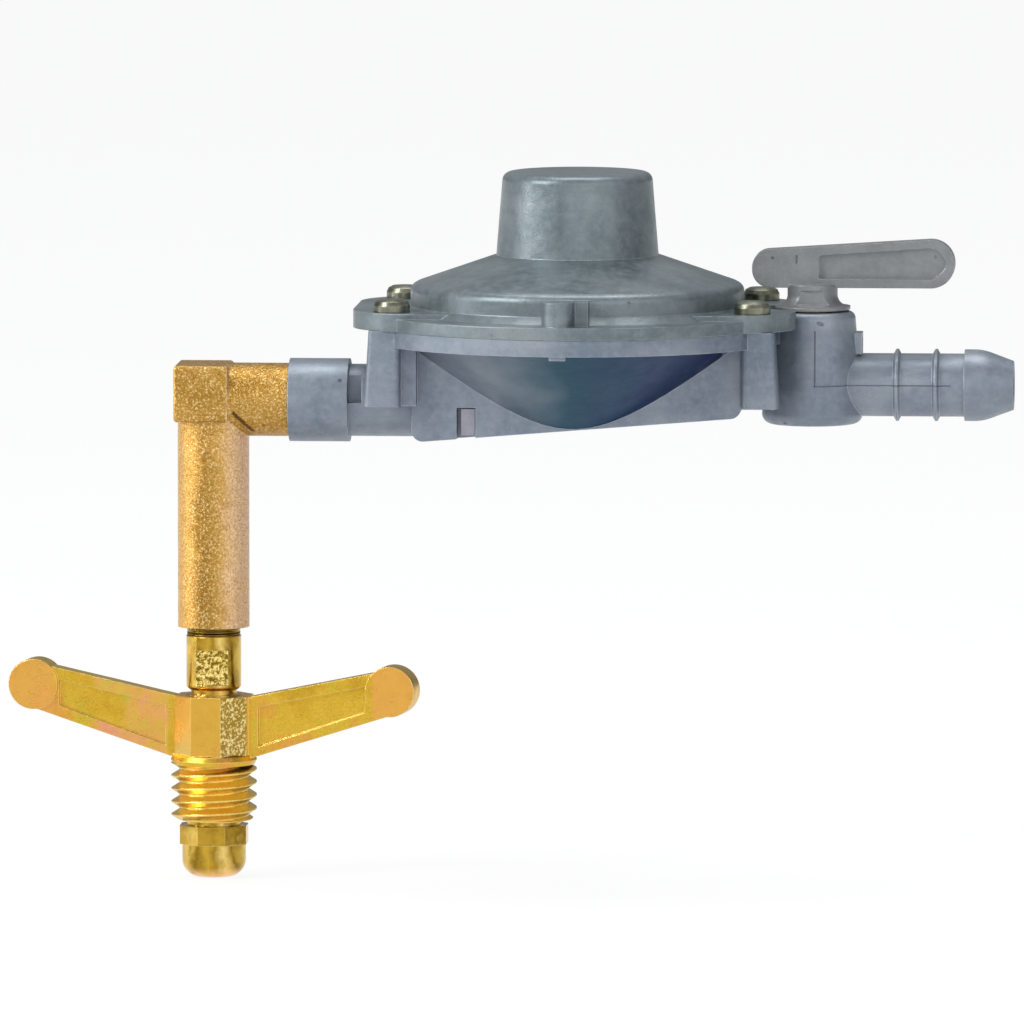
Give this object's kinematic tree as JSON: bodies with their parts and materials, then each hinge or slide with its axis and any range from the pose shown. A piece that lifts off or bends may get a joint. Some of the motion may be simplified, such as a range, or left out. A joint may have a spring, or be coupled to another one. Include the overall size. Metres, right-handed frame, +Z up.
{
  "type": "gas pressure regulator",
  "caption": "Low-pressure gas regulator with a wing-screw inlet on an elbow arm, a diaphragm chamber, a lever shut-off cock and a barbed hose tail.",
  "frame": {"origin": "on the wing screw's axis, at the shoulder where its outer thread begins", "axes": "+Z up along the inlet stem, +X along the gas flow to the hose tail, +Y to the far side"},
  "size_m": [0.1817, 0.0744, 0.1278],
  "materials": {
    "zinc_casting": "bare zinc die casting, satin, bluish grey",
    "handle_zinc": "bare zinc die casting, satin, neutral grey",
    "cast_brass": "sand-cast brass with a granular skin",
    "yellow_zinc": "yellow chromated zinc plating with a faint iridescence",
    "screw_steel": "plated steel, dull olive yellow",
    "turned_brass": "turned brass",
    "plated_steel": "zinc-plated steel",
    "black_rubber": "nitrile rubber, matt black"
  },
  "bodies": {
    "regulator": {"lower_housing": "zinc_casting", "cover": "zinc_casting", "cover_screws": "screw_steel", "elbow_arm": "cast_brass", "inlet_nipple": "yellow_zinc", "inlet_jet": "turned_brass", "inlet_filter": "turned_brass", "rocker_pin": "plated_steel", "plug_stop_pin": "plated_steel", "spring_seat": "plated_steel", "main_spring": "plated_steel", "diaphragm": "black_rubber"},
    "wing": {"wing_screw": "yellow_zinc"},
    "cock": {"cock_plug": "turned_brass", "plug_seal_rings": "black_rubber", "cock_handle": "handle_zinc"},
    "diaphragm_centre": {"diaphragm_plate": "plated_steel", "diaphragm_stem": "turned_brass", "stem_nut": "turned_brass"},
    "rocker": {"rocker_lever": "plated_steel", "valve_pad": "black_rubber"}
  },
  "joints": [
    {"name": "wing_spin", "type": "hinge", "parent": "regulator", "child": "wing", "pos_m": [0, 0, 0], "axis": [0, 0, 1], "continuous": true},
    {"name": "cock_turn", "type": "hinge", "parent": "regulator", "child": "cock", "pos_m": [0.108, 0, 0.0826], "axis": [0, 0, 1], "range_deg": [0, 90]},
    {"name": "diaphragm_lift", "type": "slide", "parent": "regulator", "child": "diaphragm_centre", "axis": [0, 0, 1], "range_m": [0, 0.0036], "stiffness_N_per_m": 1000, "springref_m": -0.007, "deforming": ["main_spring", "diaphragm"]},
    {"name": "rocker_turn", "type": "hinge", "parent": "regulator", "child": "rocker", "pos_m": [0.0466, 0, 0.0633], "axis": [0, -1, 0], "range_deg": [0, 10.8]}
  ],
  "couplings": [
    {"joint": "rocker_turn", "follows": "diaphragm_lift", "rad_per_m": 52.3}
  ]
}
